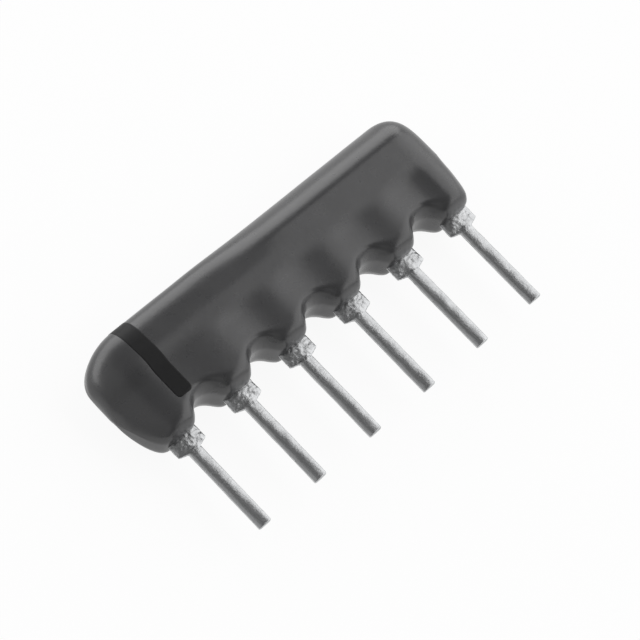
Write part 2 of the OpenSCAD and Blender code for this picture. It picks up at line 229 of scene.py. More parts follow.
class CoatForm:
    """The coating's outer form: a section that changes along the row. It follows the frame's coating and
    adds the finer forms of the dip."""

    # Cells along the section and the row, and the runs that they fill
    EDGE_CELLS = 18
    FACE_CELLS = 26
    FLAT_CELLS = 4
    END_CELLS = 16
    LINE_CELLS = 120
    END_RUN = 0.8 * MM
    STATION_STEP = 0.05 * MM
    # Steps by which the lower outline is evened out
    BLUR = 0.05 * MM
    BLUR_TAPS = 3
    # What stays blunt at the edges and the ends, and the share of a section that a rounding may take
    EDGE_BLUNT = 0.06 * MM
    END_BLUNT = 0.03
    BLUNT_LIMIT = 0.5
    ROUND_LIMIT = 0.49
    # Powers of the roundings: 2 gives an ellipse, more is squarer
    FOOT_POWER = 1.6
    LOWER_POWER = 2.0
    ARCH_POWER = 2.6
    TOP_POWER = 3.0
    LAST_TOP_POWER = 1.75
    END_POWER = 2.0
    CORNER_POWER = 2
    # Grid on which the distance from the lower outline is evened out
    LOWER_EVEN = 0.35 * MM
    LOWER_CLOSE = 0.3 * MM
    LOWER_CELL = 0.04 * MM
    LOWER_ROUNDS = 500
    LOWER_STIFF = 40.0
    LOWER_LEAST = 1e-6
    GRID_INSET = 1.001
    # Height over which the swellings run together, and how far above the fingers that ends
    SWELL_FADE = 0.6 * MM
    SWELL_OVER = SWELL_FADE / 6
    # The dip doesn't run evenly. For each lead, from the first on: shares of the set swelling and of its
    # width, with the shift of its crest along the row and the height that the hollow before it has more.
    # A lead without a width has no swelling of its own
    SWELLS = (
        (0.0, 0.0, 0.0, 0.0),
        (1.35, 1.8, 0.0, 0.35 * MM),
        (1.0, 1.0, 0.0, 0.15 * MM),
        (1.0, 1.0, 0.0, 0.1 * MM),
        (1.0, 1.0, 0.0, 0.05 * MM),
        (1.8, 1.0, -0.1 * MM, 0.0),
    )
    # Stretches of the row over which the top edge's rounding changes and the lean ends
    TOP_FROM = -2.5 * MM
    TOP_RUN = 3.5 * MM
    LEAN_FROM = -0.6 * MM
    LEAN_RUN = 1.6 * MM
    LEAN_SOFT = 0.3 * MM
    WAVE_SIZE = 1.4 * MM

    def __init__(self, coating, lead):
        self.c = coating
        self.lead_t = lead.lead_t
        self.shoulder_w = lead.shoulder_w
        self.seat_y = TIP_Y + lead.pin_len
        self.swell_top = FINGER_TOP_Y - self.seat_y + self.SWELL_OVER
        count = round((LAST_END - FIRST_END) / self.LOWER_CELL) + 1
        self.xs = np.linspace(FIRST_END, LAST_END, count)
        self.hs = np.arange(0.0, self.c.body_h, self.LOWER_CELL)
        self.low = np.array([self.lower_edge(x) for x in self.xs])
        self.depth = self.even_depth()
        steps = self.END_RUN * (1 - np.cos(np.linspace(0, math.pi / 2, self.LINE_CELLS)))
        middle = self.xs[(self.xs > FIRST_END + self.END_RUN) & (self.xs < LAST_END - self.END_RUN)]
        self.line_xs = np.concatenate([FIRST_END + steps, middle, LAST_END - steps[::-1]])
        self.line = np.array([self.lower_edge(x) for x in self.line_xs])

    def even_depth(self):
        """Distance from the lower outline over the face, evened out as the skin of a wet dip is: it
        keeps no ridge over the middle of a skirt."""
        inside = np.clip((self.hs[:, None] - self.low[None, :]) / self.LOWER_CELL + 0.5, 0, 1)
        spread = (self.LOWER_EVEN / self.LOWER_CELL) ** 2
        held = 1 + spread * (4 + self.LOWER_STIFF * (1 - inside))
        u = inside.copy()
        for _ in range(self.LOWER_ROUNDS):
            p = np.pad(u, 1, mode="edge")
            u = (spread * (p[2:, 1:-1] + p[:-2, 1:-1] + p[1:-1, 2:] + p[1:-1, :-2]) + inside) / held
        return -self.LOWER_EVEN * np.log(np.clip(1 - u, self.LOWER_LEAST, 1))

    def from_lead(self, x):
        """Distance along the row from the nearest lead."""
        return min((x - lead_x for lead_x in LEAD_XS), key=abs)

    def top_edge(self, x):
        """Height of the top edge above the seat."""
        c = self.c
        return (
            c.body_h
            - c.top_fall * (LAST_END - x) / (LAST_END - FIRST_END)
            - c.corner_h * drop((FIRST_END + c.first_corner - x) / c.first_corner, self.CORNER_POWER)
            - c.corner_h * drop((x - LAST_END + c.last_corner) / c.last_corner, self.CORNER_POWER)
        )

    def foot_share(self, x):
        """How far x is from an outer shoulder towards the end of the body, below 0 between them."""
        first, last = LEAD_XS[0] - self.shoulder_w / 2, LEAD_XS[-1] + self.shoulder_w / 2
        return max((first - x) / (first - FIRST_END), (x - last) / (LAST_END - last))

    def arch_share(self, x):
        """Rise of the arches: 0 at the shoulders, 1 at an arch's top."""
        if self.foot_share(x) > 0:
            return 0.0
        d = self.from_lead(x)
        from_top = (d - PITCH / 2 if d > 0 else d + PITCH / 2) + self.c.arch_shift
        half = (PITCH - self.shoulder_w) / 2
        reach = half + self.c.arch_shift if from_top > 0 else half - self.c.arch_shift
        return 1 - clamp(abs(from_top) / reach) ** self.ARCH_POWER

    def soft(self, rule, x):
        """A rule along the row, evened out over a short stretch, because the dip leaves no corner. The
        stretch doesn't reach past the ends."""
        taps = range(-self.BLUR_TAPS, self.BLUR_TAPS + 1)
        step = min(self.BLUR, max(min(x - FIRST_END, LAST_END - x), 0.0) / self.BLUR_TAPS)
        return sum(rule(x + k * step) for k in taps) / len(taps)

    def between_leads(self, x):
        """A slow change from 0 at the leads to 1 over the arches and at the ends of the body."""
        d = self.from_lead(x)
        return smooth(abs(d + math.copysign(self.c.arch_shift, d)) / (PITCH / 2))

    def foot_rise(self, x):
        """Rise of the lower corners: 0 at the outer shoulders, 1 at the ends."""
        return drop(self.foot_share(x), self.FOOT_POWER)

    def lower_edge(self, x):
        """Height of the lower edge above the seat."""
        arch, foot = self.soft(self.arch_share, x), self.soft(self.foot_rise, x)
        return self.c.skirt_h + self.c.arch_rise * arch + self.c.foot_h * foot

    def half_t(self, x):
        """Half the body's thickness, which falls towards the ends."""
        into_first = 1 - (x - FIRST_END) / self.c.first_round
        into_last = 1 - (LAST_END - x) / self.c.last_round
        fall = drop(max(into_first, into_last), self.END_POWER)
        return self.c.body_t / 2 * max(self.END_BLUNT, 1 - fall)

    def swell_at(self, x, height):
        """Height of the swellings over the leads' fingers, which run together above the fingers."""
        c = self.c
        bells, ahead = 0.0, LEAD_COUNT - 1
        for i in reversed(range(LEAD_COUNT)):
            _, wide, shift, _ = self.SWELLS[i]
            if not wide:
                continue
            d = x - LEAD_XS[i] - c.swell_shift - shift
            bells += math.exp(-((d / (c.swell_w * wide if d < 0 else c.swell_fall)) ** 2))
            ahead = i if d < 0 else ahead
            if d > 0 and i == LEAD_COUNT - 1:
                return c.swell
        part, _, _, rise = self.SWELLS[ahead]
        hollow = max(1 - bells, 0.0) * smooth((self.swell_top + rise - height) / self.SWELL_FADE)
        return c.swell * (1 - part * hollow)

    def lean_at(self, x, height):
        """Fall of the marked face where it leans towards the top edge."""
        past = max(height - self.c.lean_low, 0.0)
        run = past * past / (2 * self.LEAN_SOFT) if past < self.LEAN_SOFT else past - self.LEAN_SOFT / 2
        part = 1 - smooth((x - self.LEAN_FROM) / self.LEAN_RUN)
        return math.tan(self.c.lean) * run * part

    def lower_share(self, x, height):
        """How far the coating has reached its thickness: 0 at its lower outline, 1 well inside."""
        reach = mix(self.c.skirt_taper, self.c.arch_round, self.between_leads(x))
        near = float(np.hypot(self.line_xs - x, self.line - height).min())
        column = np.clip((x - self.xs[0]) / self.LOWER_CELL, 0, len(self.xs) - self.GRID_INSET)
        row = np.clip(height / self.LOWER_CELL, 0, len(self.hs) - self.GRID_INSET)
        i, j = int(row), int(column)
        left = mix(self.depth[i, j], self.depth[i + 1, j], row - i)
        right = mix(self.depth[i, j + 1], self.depth[i + 1, j + 1], row - i)
        inward = mix(near, mix(left, right, column - j), smooth(near / self.LOWER_CLOSE))
        return 1 - drop(1 - inward / reach, self.LOWER_POWER)

    def section(self, x, along):
        """Half of the section at x, from the lower to the top edge, as (height, distance from the middle
        plane). The top edge is rounded as at the first end, or as at the last end where along is 1."""
        c = self.c
        low, high, half = self.lower_edge(x), self.top_edge(x), self.half_t(x)
        low_blunt = min(self.lead_t / 2 + c.lip, half * self.BLUNT_LIMIT)
        high_blunt = min(self.EDGE_BLUNT, half * self.BLUNT_LIMIT)
        top_round = mix(c.top_round, c.last_top_round, along)
        high_round = min(top_round, (high - low) * self.ROUND_LIMIT)
        low_run = min(c.skirt_taper + c.arch_rise, (high - low) * self.ROUND_LIMIT)
        angles = [math.pi / 2 * k / self.EDGE_CELLS for k in range(self.EDGE_CELLS + 1)]
        start, end = low + low_run, high - high_round
        heights = [low + low_run * (1 - math.cos(a)) for a in angles]
        heights += [mix(start, end, k / self.FACE_CELLS) for k in range(1, self.FACE_CELLS)]
        power = 2 / mix(self.TOP_POWER, self.LAST_TOP_POWER, along)
        points = [(h, mix(low_blunt, half, self.lower_share(x, h))) for h in heights]
        for a in reversed(angles):
            h = high - high_round * (1 - math.cos(a) ** power)
            inside = mix(low_blunt, half, self.lower_share(x, h))
            points.append((h, mix(min(high_blunt, inside), inside, math.sin(a) ** power)))
        return points

    def front(self, x):
        """Points of the front half of the ring at x."""
        half = self.half_t(x)
        along = smooth((x - self.TOP_FROM) / self.TOP_RUN) * smooth((LAST_END - x) / self.c.last_round)
        points = []
        for h, d in self.section(x, along):
            rise = self.swell_at(x, h) - self.lean_at(x, h)
            points.append(Vector((x, self.seat_y + h, MID_Z + d * (1 + rise / half))))
        return points

    def ring(self, x):
        """Points round the body at x. The back is flat but for its roundings."""
        front = self.front(x)
        back = [Vector((x, self.seat_y + h, MID_Z - d)) for h, d in reversed(self.section(x, 0.0))]
        steps = [k / self.FLAT_CELLS for k in range(1, self.FLAT_CELLS)]
        top = [front[-1].lerp(back[0], s) for s in steps]
        bottom = [back[-1].lerp(front[0], s) for s in steps]
        return front + top + back + bottom

    def stations(self):
        """Places along the row, closer together towards the ends."""
        angles = [math.pi / 2 * k / self.END_CELLS for k in range(self.END_CELLS)]
        steps = [self.END_RUN * (1 - math.cos(a)) for a in angles]
        start, end = FIRST_END + self.END_RUN, LAST_END - self.END_RUN
        count = round((end - start) / self.STATION_STEP)
        return (
            [FIRST_END + s for s in steps]
            + [mix(start, end, k / count) for k in range(count + 1)]
            + [LAST_END - s for s in reversed(steps)]
        )

    def wave_at(self, point):
        """Height of the slow waves at a point."""
        return self.c.wave * noise.noise(point / self.WAVE_SIZE)


def loft(bm, rings):
    """Adds a closed skin through rings that all have the same number of points."""
    rows = [[bm.verts.new(p) for p in ring] for ring in rings]
    for row, after in zip(rows, rows[1:]):
        for k in range(len(row)):
            bm.faces.new((row[k - 1], row[k], after[k], after[k - 1]))
    bm.faces.new(rows[0])
    bm.faces.new(reversed(rows[-1]))
    bmesh.ops.recalc_face_normals(bm, faces=bm.faces)
    bm.normal_update()
    return rows


def mesh_object(name, bm):
    """Turns a bmesh into a smooth-shaded object of the scene."""
    mesh = bpy.data.meshes.new(name)
    bm.to_mesh(mesh)
    bm.free()
    mesh.shade_smooth()
    piece = bpy.data.objects.new(name, mesh)
    bpy.context.scene.collection.objects.link(piece)
    return piece


def dress(piece, material, slot, *nodes):
    """Gives a piece its material and its place in the frame."""
    piece.data.materials.clear()
    piece.data.materials.append(material)
    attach(piece, BODY)
    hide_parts(*nodes)


def finish_nodes(material, *prefixes):
    """Gives the frame's own solids whose names start so a material."""
    found = [node for name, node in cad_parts.items() if name.startswith(prefixes)]
    if not found:
        raise RuntimeError(f"the frame has no node for {material.name}")
    for node in found:
        for place in node.material_slots:
            place.material = material


def new_material(name):
    """A material with an empty tree, and the coordinates of its object."""
    material = bpy.data.materials.new(name)
    material.use_nodes = True
    tree = material.node_tree
    tree.nodes.clear()
    return material, tree, add(tree, "ShaderNodeTexCoord").outputs["Object"]


def add(tree, kind, inputs=None, **settings):
    """Adds a node. Each of inputs is a value to set or an output to link."""
    made = tree.nodes.new(kind)
    for name, value in settings.items():
        setattr(made, name, value)
    for socket, value in (inputs or {}).items():
        if isinstance(value, bpy.types.NodeSocket):
            tree.links.new(value, made.inputs[socket])
        else:
            made.inputs[socket].default_value = value
    return made


def darker(rgba, part):
    """A colour with its light taken times a part, which may be over 1."""
    return [c * part for c in rgba[:3]] + [1.0]


def epoxy_coat(shade):
    """Epoxy that was dipped and cured."""
    # A satin skin: soft reflections, a faint orange peel and a slow change of tone where it ran
    material, tree, place = new_material("epoxy_dipped_and_cured")
    runs = add(tree, "ShaderNodeTexNoise", {"Vector": place, "Scale": 1 / (1.1 * MM), "Detail": 3.0})
    tone = add(
        tree, "ShaderNodeMix",
        {"Factor": runs.outputs["Fac"], MIX_A: darker(shade, 0.88), MIX_B: darker(shade, 1.12)},
        data_type="RGBA",
    )
    cloud = add(tree, "ShaderNodeTexNoise", {"Vector": place, "Scale": 1 / (0.5 * MM), "Detail": 2.0})
    gloss = add(
        tree, "ShaderNodeMapRange", {"Value": cloud.outputs["Fac"], "To Min": 0.24, "To Max": 0.33}
    )
    peel = add(tree, "ShaderNodeTexNoise", {"Vector": place, "Scale": 1 / (0.2 * MM), "Detail": 2.0})
    bump = add(
        tree, "ShaderNodeBump", {"Height": peel.outputs["Fac"], "Strength": 0.12, "Distance": 0.02 * MM}
    )
    shader = add(tree, "ShaderNodeBsdfPrincipled", {
        "Base Color": tone.outputs[MIX_RESULT],
        "Roughness": gloss.outputs["Result"],
        "IOR": 1.55,
        "Normal": bump.outputs["Normal"],
    })
    add(tree, "ShaderNodeOutputMaterial", {"Surface": shader.outputs["BSDF"]})
    return material


def printed_ink(shade):
    """Marking ink that was stamped on."""
    # Black and dull: it is full of carbon, so it takes the epoxy's gloss away, unevenly
    material, tree, place = new_material("marking_ink_stamped")
    specks = add(tree, "ShaderNodeTexNoise", {"Vector": place, "Scale": 1 / (0.12 * MM), "Detail": 2.0})
    tone = add(
        tree, "ShaderNodeMix",
        {"Factor": specks.outputs["Fac"], MIX_A: darker(shade, 0.7), MIX_B: darker(shade, 1.3)},
        data_type="RGBA",
    )
    gloss = add(
        tree, "ShaderNodeMapRange", {"Value": specks.outputs["Fac"], "To Min": 0.4, "To Max": 0.6}
    )
    shader = add(tree, "ShaderNodeBsdfPrincipled", {
        "Base Color": tone.outputs[MIX_RESULT],
        "Roughness": gloss.outputs["Result"],
        "IOR": 1.45,
        "Specular IOR Level": 0.3,
    })
    add(tree, "ShaderNodeOutputMaterial", {"Surface": shader.outputs["BSDF"]})
    return material


def hot_tin(shade):
    """Tin in which the stamped strip was dipped hot."""
    # A grey, clean metal: half-sharp reflections that break up in frosted patches
    material, tree, place = new_material("tin_hot_dipped")
    frost = add(tree, "ShaderNodeTexNoise", {"Vector": place, "Scale": 1 / (0.25 * MM), "Detail": 3.0})
    tone = add(
        tree, "ShaderNodeMix",
        {"Factor": frost.outputs["Fac"], MIX_A: darker(shade, 0.75), MIX_B: shade}, data_type="RGBA",
    )
    gloss = add(
        tree, "ShaderNodeMapRange", {"Value": frost.outputs["Fac"], "To Min": 0.36, "To Max": 0.26}
    )
    grain = add(tree, "ShaderNodeTexNoise", {"Vector": place, "Scale": 1 / (0.07 * MM), "Detail": 2.0})
    bump = add(
        tree, "ShaderNodeBump", {"Height": grain.outputs["Fac"], "Strength": 0.6, "Distance": 0.01 * MM}
    )
    shader = add(tree, "ShaderNodeBsdfPrincipled", {
        "Base Color": tone.outputs[MIX_RESULT],
        "Metallic": 1.0,
        "Roughness": gloss.outputs["Result"],
        "Normal": bump.outputs["Normal"],
    })
    add(tree, "ShaderNodeOutputMaterial", {"Surface": shader.outputs["BSDF"]})
    return material


def fired_alumina(shade):
    """Alumina that was pressed and fired."""
    # Off-white and matt. Its grains are a few microns across, and are drawn coarser so that they show
    material, tree, place = new_material("alumina_fired")
    grains = add(tree, "ShaderNodeTexNoise", {"Vector": place, "Scale": 1 / (0.05 * MM), "Detail": 2.0})
    tone = add(
        tree, "ShaderNodeMix",
        {"Factor": grains.outputs["Fac"], MIX_A: darker(shade, 0.92), MIX_B: shade}, data_type="RGBA",
    )
    bump = add(
        tree, "ShaderNodeBump",
        {"Height": grains.outputs["Fac"], "Strength": 0.2, "Distance": 0.005 * MM},
    )
    shader = add(tree, "ShaderNodeBsdfPrincipled", {
        "Base Color": tone.outputs[MIX_RESULT],
        "Roughness": 0.6,
        "IOR": 1.76,
        "Normal": bump.outputs["Normal"],
    })
    add(tree, "ShaderNodeOutputMaterial", {"Surface": shader.outputs["BSDF"]})
    return material


def printed_silver(shade):
    """Silver-palladium paste that was screen-printed and fired."""
    # A dull, warm grey metal with the weave of the screen in it
    material, tree, place = new_material("silver_palladium_printed_and_fired")
    weave = add(
        tree, "ShaderNodeTexVoronoi", {"Vector": place, "Scale": 1 / (0.08 * MM), "Randomness": 0.2}
    )
    tone = add(
        tree, "ShaderNodeMix",
        {"Factor": weave.outputs["Distance"], MIX_A: shade, MIX_B: darker(shade, 0.7)}, data_type="RGBA",
    )
    bump = add(
        tree, "ShaderNodeBump",
        {"Height": weave.outputs["Distance"], "Strength": 0.3, "Distance": 0.004 * MM},
    )
    shader = add(tree, "ShaderNodeBsdfPrincipled", {
        "Base Color": tone.outputs[MIX_RESULT],
        "Metallic": 1.0,
        "Roughness": 0.45,
        "Normal": bump.outputs["Normal"],
    })
    add(tree, "ShaderNodeOutputMaterial", {"Surface": shader.outputs["BSDF"]})
    return material


def printed_oxide(shade):
    """Ruthenium-oxide paste that was screen-printed and fired."""
    # Nearly black, half glass: a satin film, finely speckled
    material, tree, place = new_material("ruthenium_oxide_printed_and_fired")
    specks = add(tree, "ShaderNodeTexNoise", {"Vector": place, "Scale": 1 / (0.04 * MM), "Detail": 3.0})
    tone = add(
        tree, "ShaderNodeMix",
        {"Factor": specks.outputs["Fac"], MIX_A: darker(shade, 0.6), MIX_B: darker(shade, 1.4)},
        data_type="RGBA",
    )
    shader = add(tree, "ShaderNodeBsdfPrincipled", {
        "Base Color": tone.outputs[MIX_RESULT],
        "Roughness": 0.35,
        "IOR": 1.6,
    })
    add(tree, "ShaderNodeOutputMaterial", {"Surface": shader.outputs["BSDF"]})
    return material


def fired_glass(shade):
    """Glass paste that was printed over the resistors and fired."""
    # A green, glossy glaze with small bubbles, through which the films show
    material, tree, place = new_material("overglaze_glass_fired")
    bubbles = add(tree, "ShaderNodeTexVoronoi", {"Vector": place, "Scale": 1 / (0.06 * MM)})
    tone = add(
        tree, "ShaderNodeMix",
        {"Factor": bubbles.outputs["Distance"], MIX_A: darker(shade, 1.2), MIX_B: darker(shade, 0.9)},
        data_type="RGBA",
    )
    shader = add(tree, "ShaderNodeBsdfPrincipled", {
        "Base Color": tone.outputs[MIX_RESULT],
        "Roughness": 0.12,
        "IOR": 1.52,
        "Transmission Weight": 0.5,
    })
    add(tree, "ShaderNodeOutputMaterial", {"Surface": shader.outputs["BSDF"]})
    return material


def flowed_solder(shade):
    """Solder that was melted round the fingers."""
    # Bright and smooth where it ran, with a frosted skin in patches
    material, tree, place = new_material("solder_melted")
    frost = add(tree, "ShaderNodeTexNoise", {"Vector": place, "Scale": 1 / (0.15 * MM), "Detail": 3.0})
    tone = add(
        tree, "ShaderNodeMix",
        {"Factor": frost.outputs["Fac"], MIX_A: darker(shade, 0.8), MIX_B: shade}, data_type="RGBA",
    )
    gloss = add(
        tree, "ShaderNodeMapRange", {"Value": frost.outputs["Fac"], "To Min": 0.35, "To Max": 0.12}
    )
    shader = add(tree, "ShaderNodeBsdfPrincipled", {
        "Base Color": tone.outputs[MIX_RESULT],
        "Metallic": 1.0,
        "Roughness": gloss.outputs["Result"],
    })
    add(tree, "ShaderNodeOutputMaterial", {"Surface": shader.outputs["BSDF"]})
    return material


def white_paper(shade, glow):
    """Coated paper under the part."""
    # Matt white. The camera and the reflections see it nearly plain white, with the shadow left in
    material, tree, place = new_material("paper_coated")
    fibres = add(tree, "ShaderNodeTexNoise", {"Vector": place, "Scale": 1 / (2 * MM), "Detail": 2.0})
    tone = add(
        tree, "ShaderNodeMix",
        {"Factor": fibres.outputs["Fac"], MIX_A: darker(shade, 0.99), MIX_B: shade}, data_type="RGBA",
    )
    shader = add(tree, "ShaderNodeBsdfDiffuse", {"Color": tone.outputs[MIX_RESULT]})
    path = add(tree, "ShaderNodeLightPath")
    seen = add(
        tree, "ShaderNodeMath",
        {0: path.outputs["Is Camera Ray"], 1: path.outputs["Is Glossy Ray"]}, operation="MAXIMUM",
    )
    seen = add(
        tree, "ShaderNodeMath",
        {0: seen.outputs[0], 1: path.outputs["Is Transmission Ray"]}, operation="MAXIMUM",
    )
    part = add(tree, "ShaderNodeMath", {0: seen.outputs[0], 1: glow}, operation="MULTIPLY")
    white = add(tree, "ShaderNodeEmission", {"Strength": 1.0})
    blend = add(
        tree, "ShaderNodeMixShader",
        {0: part.outputs[0], 1: shader.outputs["BSDF"], 2: white.outputs["Emission"]},
    )
    add(tree, "ShaderNodeOutputMaterial", {"Surface": blend.outputs["Shader"]})
    return material


class NETWORK_OT_coating(bpy.types.Operator):
    """Adds the dipped coating as one smooth skin"""

    bl_idname = "network.coating"
    bl_label = "Coating"

    # The rim by the lower edge is evened out a few times
    RIM_CELLS = CoatForm.EDGE_CELLS // 3
    RIM_PASSES = 4
    RIM_FACTOR = 0.5

    def execute(self, context):
        settings = context.scene.network
        form = CoatForm(settings.coating, settings.lead)
        bm = bmesh.new()
        rows = loft(bm, [form.ring(x) for x in form.stations()])
        before = self.RIM_CELLS + form.FLAT_CELLS
        rim = [v for row in rows for v in row[:self.RIM_CELLS] + row[-before:]]
        for _ in range(self.RIM_PASSES):
            bmesh.ops.smooth_vert(
                bm, verts=rim, factor=self.RIM_FACTOR, use_axis_x=True, use_axis_y=True, use_axis_z=True
            )
        bm.normal_update()
        low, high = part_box("coating")
        low = Vector((low.x, TIP_Y, low.z))
        for v in bm.verts:
            if v.co.z > MID_Z:
                v.co += v.normal * (form.wave_at(v.co) - form.c.wave)
            v.co = [min(max(at, least), most) for at, least, most in zip(v.co, low, high)]
        piece = mesh_object("dipped_coating", bm)
        dress(piece, epoxy_coat(settings.coating.shade), "coating_epoxy", "coating")
        return {"FINISHED"}


class NETWORK_OT_bar(bpy.types.Operator):
    """Adds the printed bar beside the first lead"""

    bl_idname = "network.bar"
    bl_label = "Printed bar"

    COLUMNS = 26
    ROWS = 120
    SINK = 0.01 * MM

    def column(self, form, bar, x):
        """Points up the coating at x, from the bar's lower outline to the middle of the top edge."""
        bar_x = LEAD_XS[0] + bar.bar_offset
        past_corner = max(abs(x - bar_x) - bar.bar_w / 2 + bar.bar_r, 0.0)
        corner = math.sqrt(max(bar.bar_r ** 2 - past_corner ** 2, 0.0))
        low = form.seat_y + bar.bar_low + bar.bar_r - corner
        line = form.front(x)
        line.append(Vector((x, line[-1].y, MID_Z)))
        first = next(k for k, p in enumerate(line) if p.y > low)
        before, after = line[first - 1], line[first]
        line = [before.lerp(after, (low - before.y) / (after.y - before.y))] + line[first:]
        runs = [0.0]
        for a, b in zip(line, line[1:]):
            runs.append(runs[-1] + (b - a).length)
        points, k = [], 0
        for row in range(self.ROWS + 1):
            at = runs[-1] * row / self.ROWS
            while k < len(line) - 2 and runs[k + 1] < at:
                k += 1
            points.append(line[k].lerp(line[k + 1], (at - runs[k]) / (runs[k + 1] - runs[k])))
        return points

    def execute(self, context):
        settings = context.scene.network
        bar = settings.bar
        form = CoatForm(settings.coating, settings.lead)
        bar_x = LEAD_XS[0] + bar.bar_offset
        xs = [bar_x + bar.bar_w * (k / self.COLUMNS - 0.5) for k in range(self.COLUMNS + 1)]
        columns = [self.column(form, bar, x) for x in xs]
        bm = bmesh.new()
        outer = [[bm.verts.new(p) for p in column] for column in columns]
        for left, right in zip(outer, outer[1:]):
            for k in range(self.ROWS):
                bm.faces.new((left[k], right[k], right[k + 1], left[k + 1]))
        bm.normal_update()
        normals = [[v.normal.copy() for v in column] for column in outer]
        inner = []
        for column, ups in zip(outer, normals):
            inner.append([])
            for v, up in zip(column, ups):
                surface = v.co + up * (form.wave_at(v.co) - form.c.wave)
                inner[-1].append(bm.verts.new(surface - up * self.SINK))
                v.co = surface + up * bar.ink_t
        last = len(xs) - 1
        for column in (outer[0], outer[-1], [column[0] for column in outer]):
            for v in column:
                v.co -= v.normal * bar.ink_t
        for left, right in zip(inner, inner[1:]):
            for k in range(self.ROWS):
                bm.faces.new((left[k + 1], right[k + 1], right[k], left[k]))
        border = (
            [(c, 0) for c in range(last)]
            + [(last, r) for r in range(self.ROWS)]
            + [(c, self.ROWS) for c in range(last, 0, -1)]
            + [(0, r) for r in range(self.ROWS, 0, -1)]
        )
        for (c, r), (c2, r2) in zip(border, border[1:] + border[:1]):
            bm.faces.new((outer[c][r], inner[c][r], inner[c2][r2], outer[c2][r2]))
        bmesh.ops.recalc_face_normals(bm, faces=bm.faces)
        piece = mesh_object("printed_bar", bm)
        dress(piece, printed_ink(bar.shade), "marking_ink", "pin_1_bar")
        return {"FINISHED"}


